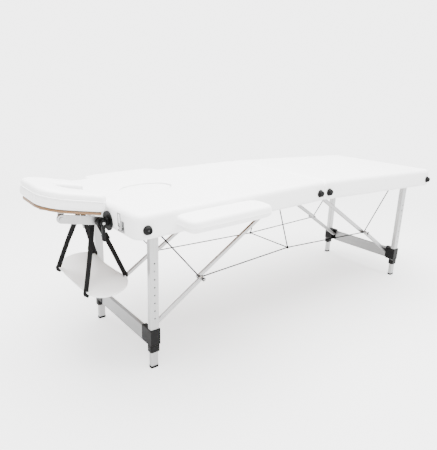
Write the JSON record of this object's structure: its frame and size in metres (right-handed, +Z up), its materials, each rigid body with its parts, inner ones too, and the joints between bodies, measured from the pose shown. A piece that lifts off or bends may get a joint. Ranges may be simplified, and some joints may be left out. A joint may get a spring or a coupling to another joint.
{
  "type": "facial treatment bed",
  "caption": "Portable folding treatment bed: padded two-part top on folding braced legs, with plug-in armrests, tilting horseshoe face rest and a hanging arm sling.",
  "frame": {"origin": "on the floor, below the middle of the whole outline", "axes": "+X from the head end with the face rest towards the foot end, +Y towards the right-hand armrest side, +Z up"},
  "size_m": [2.1125, 0.91, 0.7185],
  "materials": {
    "white_vinyl": "soft matt upholstery vinyl, fine grain",
    "foam": "open-cell foam",
    "beech": "clear sealed beech",
    "plywood": "sealed birch plywood",
    "black_rubber": "moulded rubber",
    "black_plastic": "textured nylon",
    "steel": "nickel plated",
    "aluminium": "satin anodised",
    "cable": "dark coated wire rope",
    "webbing": "black woven webbing"
  },
  "bodies": {
    "head_half": {"head_rails": "beech", "head_deck": "plywood", "head_foam": "foam", "head_cover": "white_vinyl", "head_bumpers": "black_rubber", "head_fittings": "steel", "socket_bushes": "steel", "head_cables": "cable"},
    "fold_pins": {"hinge_pins": "steel", "fold_cables": "cable"},
    "foot_half": {"foot_rails": "beech", "foot_deck": "plywood", "foot_foam": "foam", "foot_cover": "white_vinyl", "foot_bumpers": "black_rubber", "foot_fittings": "steel", "foot_cables": "cable"},
    "breath_plug": {"breath_hole_plug": "white_vinyl"},
    "cradle_mount": {"cradle_posts": "steel", "cradle_knuckles": "black_plastic", "arm_sling": "white_vinyl", "sling_straps": "webbing"},
    "cradle_arms": {"cradle_arms": "aluminium"},
    "cradle_lever": {"cradle_lever": "black_plastic"},
    "cradle_platform": {"cradle_board": "plywood", "cradle_lugs": "steel", "face_pillow": "white_vinyl"},
    "head_leg_pair": {"head_legs": "aluminium", "head_leg_brackets": "black_plastic", "head_crossbar": "aluminium"},
    "leg_extension_head_left": {"leg_extension_head_left": "aluminium", "rubber_foot_head_left": "black_rubber"},
    "height_button_head_left": {"height_button_head_left": "steel"},
    "upper_brace_head_left": {"upper_brace_head_left": "aluminium"},
    "lower_brace_head_left": {"lower_brace_head_left": "aluminium"},
    "leg_extension_head_right": {"leg_extension_head_right": "aluminium", "rubber_foot_head_right": "black_rubber"},
    "height_button_head_right": {"height_button_head_right": "steel"},
    "upper_brace_head_right": {"upper_brace_head_right": "aluminium"},
    "lower_brace_head_right": {"lower_brace_head_right": "aluminium"},
    "foot_leg_pair": {"foot_legs": "aluminium", "foot_leg_brackets": "black_plastic", "foot_crossbar": "aluminium"},
    "leg_extension_foot_left": {"leg_extension_foot_left": "aluminium", "rubber_foot_foot_left": "black_rubber"},
    "height_button_foot_left": {"height_button_foot_left": "steel"},
    "upper_brace_foot_left": {"upper_brace_foot_left": "aluminium"},
    "lower_brace_foot_left": {"lower_brace_foot_left": "aluminium"},
    "leg_extension_foot_right": {"leg_extension_foot_right": "aluminium", "rubber_foot_foot_right": "black_rubber"},
    "height_button_foot_right": {"height_button_foot_right": "steel"},
    "upper_brace_foot_right": {"upper_brace_foot_right": "aluminium"},
    "lower_brace_foot_right": {"lower_brace_foot_right": "aluminium"},
    "armrest_left": {"armrest_board_left": "plywood", "armrest_pad_left": "white_vinyl"},
    "latch_left": {"latch_left": "steel"},
    "armrest_right": {"armrest_board_right": "plywood", "armrest_pad_right": "white_vinyl"},
    "latch_right": {"latch_right": "steel"}
  },
  "joints": [
    {"name": "fold_first", "type": "hinge", "parent": "head_half", "child": "fold_pins", "pos_m": [0.11833, 0, 0.5824], "axis": [0, 1, 0], "range_deg": [0, 80], "deforming": ["head_cables", "foot_cables", "fold_cables"]},
    {"name": "fold_last", "type": "hinge", "parent": "fold_pins", "child": "foot_half", "pos_m": [0.11833, 0, 0.5824], "axis": [0, 1, 0], "range_deg": [0, 96.84]},
    {"name": "head_leg_fold", "type": "hinge", "parent": "head_half", "child": "head_leg_pair", "pos_m": [-0.70233, 0, 0.58427], "axis": [0, -1, 0], "range_deg": [0, 91.6]},
    {"name": "height_head_left", "type": "slide", "parent": "head_leg_pair", "child": "leg_extension_head_left", "axis": [0, 0, -1], "range_m": [-0.0315, 0.189]},
    {"name": "button_head_left", "type": "slide", "parent": "head_leg_pair", "child": "height_button_head_left", "axis": [0, 1, 0], "range_m": [0, 0.003], "stiffness_N_per_m": 400, "springref_m": -0.004},
    {"name": "upper_brace_head_left_turn", "type": "hinge", "parent": "head_half", "child": "upper_brace_head_left", "pos_m": [0.06731, -0.176, 0.61851], "axis": [0, 1, 0], "range_deg": [0, 30.49]},
    {"name": "lower_brace_head_left_turn", "type": "hinge", "parent": "head_leg_pair", "child": "lower_brace_head_left", "pos_m": [-0.68933, -0.195, 0.14], "axis": [0, -1, 0], "range_deg": [0, 57.15]},
    {"name": "height_head_right", "type": "slide", "parent": "head_leg_pair", "child": "leg_extension_head_right", "axis": [0, 0, -1], "range_m": [-0.0315, 0.189]},
    {"name": "button_head_right", "type": "slide", "parent": "head_leg_pair", "child": "height_button_head_right", "axis": [0, -1, 0], "range_m": [0, 0.003], "stiffness_N_per_m": 400, "springref_m": -0.004},
    {"name": "upper_brace_head_right_turn", "type": "hinge", "parent": "head_half", "child": "upper_brace_head_right", "pos_m": [0.06731, 0.176, 0.61851], "axis": [0, 1, 0], "range_deg": [0, 30.49]},
    {"name": "lower_brace_head_right_turn", "type": "hinge", "parent": "head_leg_pair", "child": "lower_brace_head_right", "pos_m": [-0.68933, 0.195, 0.14], "axis": [0, -1, 0], "range_deg": [0, 57.15]},
    {"name": "foot_leg_fold", "type": "hinge", "parent": "foot_half", "child": "foot_leg_pair", "pos_m": [0.93899, 0, 0.58427], "axis": [0, 1, 0], "range_deg": [0, 91.6]},
    {"name": "height_foot_left", "type": "slide", "parent": "foot_leg_pair", "child": "leg_extension_foot_left", "axis": [0, 0, -1], "range_m": [-0.0315, 0.189]},
    {"name": "button_foot_left", "type": "slide", "parent": "foot_leg_pair", "child": "height_button_foot_left", "axis": [0, 1, 0], "range_m": [0, 0.003], "stiffness_N_per_m": 400, "springref_m": -0.004},
    {"name": "upper_brace_foot_left_turn", "type": "hinge", "parent": "foot_half", "child": "upper_brace_foot_left", "pos_m": [0.16934, -0.176, 0.61851], "axis": [0, -1, 0], "range_deg": [0, 30.49]},
    {"name": "lower_brace_foot_left_turn", "type": "hinge", "parent": "foot_leg_pair", "child": "lower_brace_foot_left", "pos_m": [0.92599, -0.195, 0.14], "axis": [0, 1, 0], "range_deg": [0, 57.15]},
    {"name": "height_foot_right", "type": "slide", "parent": "foot_leg_pair", "child": "leg_extension_foot_right", "axis": [0, 0, -1], "range_m": [-0.0315, 0.189]},
    {"name": "button_foot_right", "type": "slide", "parent": "foot_leg_pair", "child": "height_button_foot_right", "axis": [0, -1, 0], "range_m": [0, 0.003], "stiffness_N_per_m": 400, "springref_m": -0.004},
    {"name": "upper_brace_foot_right_turn", "type": "hinge", "parent": "foot_half", "child": "upper_brace_foot_right", "pos_m": [0.16934, 0.176, 0.61851], "axis": [0, -1, 0], "range_deg": [0, 30.49]},
    {"name": "lower_brace_foot_right_turn", "type": "hinge", "parent": "foot_leg_pair", "child": "lower_brace_foot_right", "pos_m": [0.92599, 0.195, 0.14], "axis": [0, 1, 0], "range_deg": [0, 57.15]},
    {"name": "breath_plug_lift", "type": "slide", "parent": "head_half", "child": "breath_plug", "axis": [-0.0276, 0, 0.9996], "range_m": [0, 0.1]},
    {"name": "cradle_slide", "type": "slide", "parent": "head_half", "child": "cradle_mount", "axis": [-0.9996, 0, -0.0276], "range_m": [0, 0.05]},
    {"name": "cradle_arm_tilt", "type": "hinge", "parent": "cradle_mount", "child": "cradle_arms", "pos_m": [-0.8419, 0, 0.57742], "axis": [0, 1, 0], "range_deg": [-30, 5]},
    {"name": "cradle_platform_tilt", "type": "hinge", "parent": "cradle_arms", "child": "cradle_platform", "pos_m": [-0.97442, 0, 0.60318], "axis": [0, -1, 0], "range_deg": [0, 30]},
    {"name": "cradle_lever_turn", "type": "hinge", "parent": "cradle_mount", "child": "cradle_lever", "pos_m": [-0.8419, -0.139, 0.57742], "axis": [0, 1, 0], "range_deg": [0, 75]},
    {"name": "armrest_left_slide", "type": "slide", "parent": "head_half", "child": "armrest_left", "axis": [0, -1, 0], "range_m": [0, 0.045]},
    {"name": "latch_left_turn", "type": "hinge", "parent": "head_half", "child": "latch_left", "pos_m": [-0.81967, -0.23, 0.56953], "axis": [0, -1, 0], "range_deg": [0, 150]},
    {"name": "armrest_right_slide", "type": "slide", "parent": "head_half", "child": "armrest_right", "axis": [0, 1, 0], "range_m": [0, 0.045]},
    {"name": "latch_right_turn", "type": "hinge", "parent": "head_half", "child": "latch_right", "pos_m": [-0.81967, 0.23, 0.56953], "axis": [0, -1, 0], "range_deg": [0, 150]}
  ],
  "couplings": [
    {"joint": "head_leg_fold", "follows": "fold_first", "ratio": 1.1447},
    {"joint": "upper_brace_head_left_turn", "follows": "fold_first", "ratio": 0.38085},
    {"joint": "lower_brace_head_left_turn", "follows": "fold_first", "ratio": 0.71412},
    {"joint": "upper_brace_head_right_turn", "follows": "fold_first", "ratio": 0.38085},
    {"joint": "lower_brace_head_right_turn", "follows": "fold_first", "ratio": 0.71412},
    {"joint": "foot_leg_fold", "follows": "fold_first", "ratio": 1.1447},
    {"joint": "upper_brace_foot_left_turn", "follows": "fold_first", "ratio": 0.38085},
    {"joint": "lower_brace_foot_left_turn", "follows": "fold_first", "ratio": 0.71412},
    {"joint": "upper_brace_foot_right_turn", "follows": "fold_first", "ratio": 0.38085},
    {"joint": "lower_brace_foot_right_turn", "follows": "fold_first", "ratio": 0.71412}
  ]
}
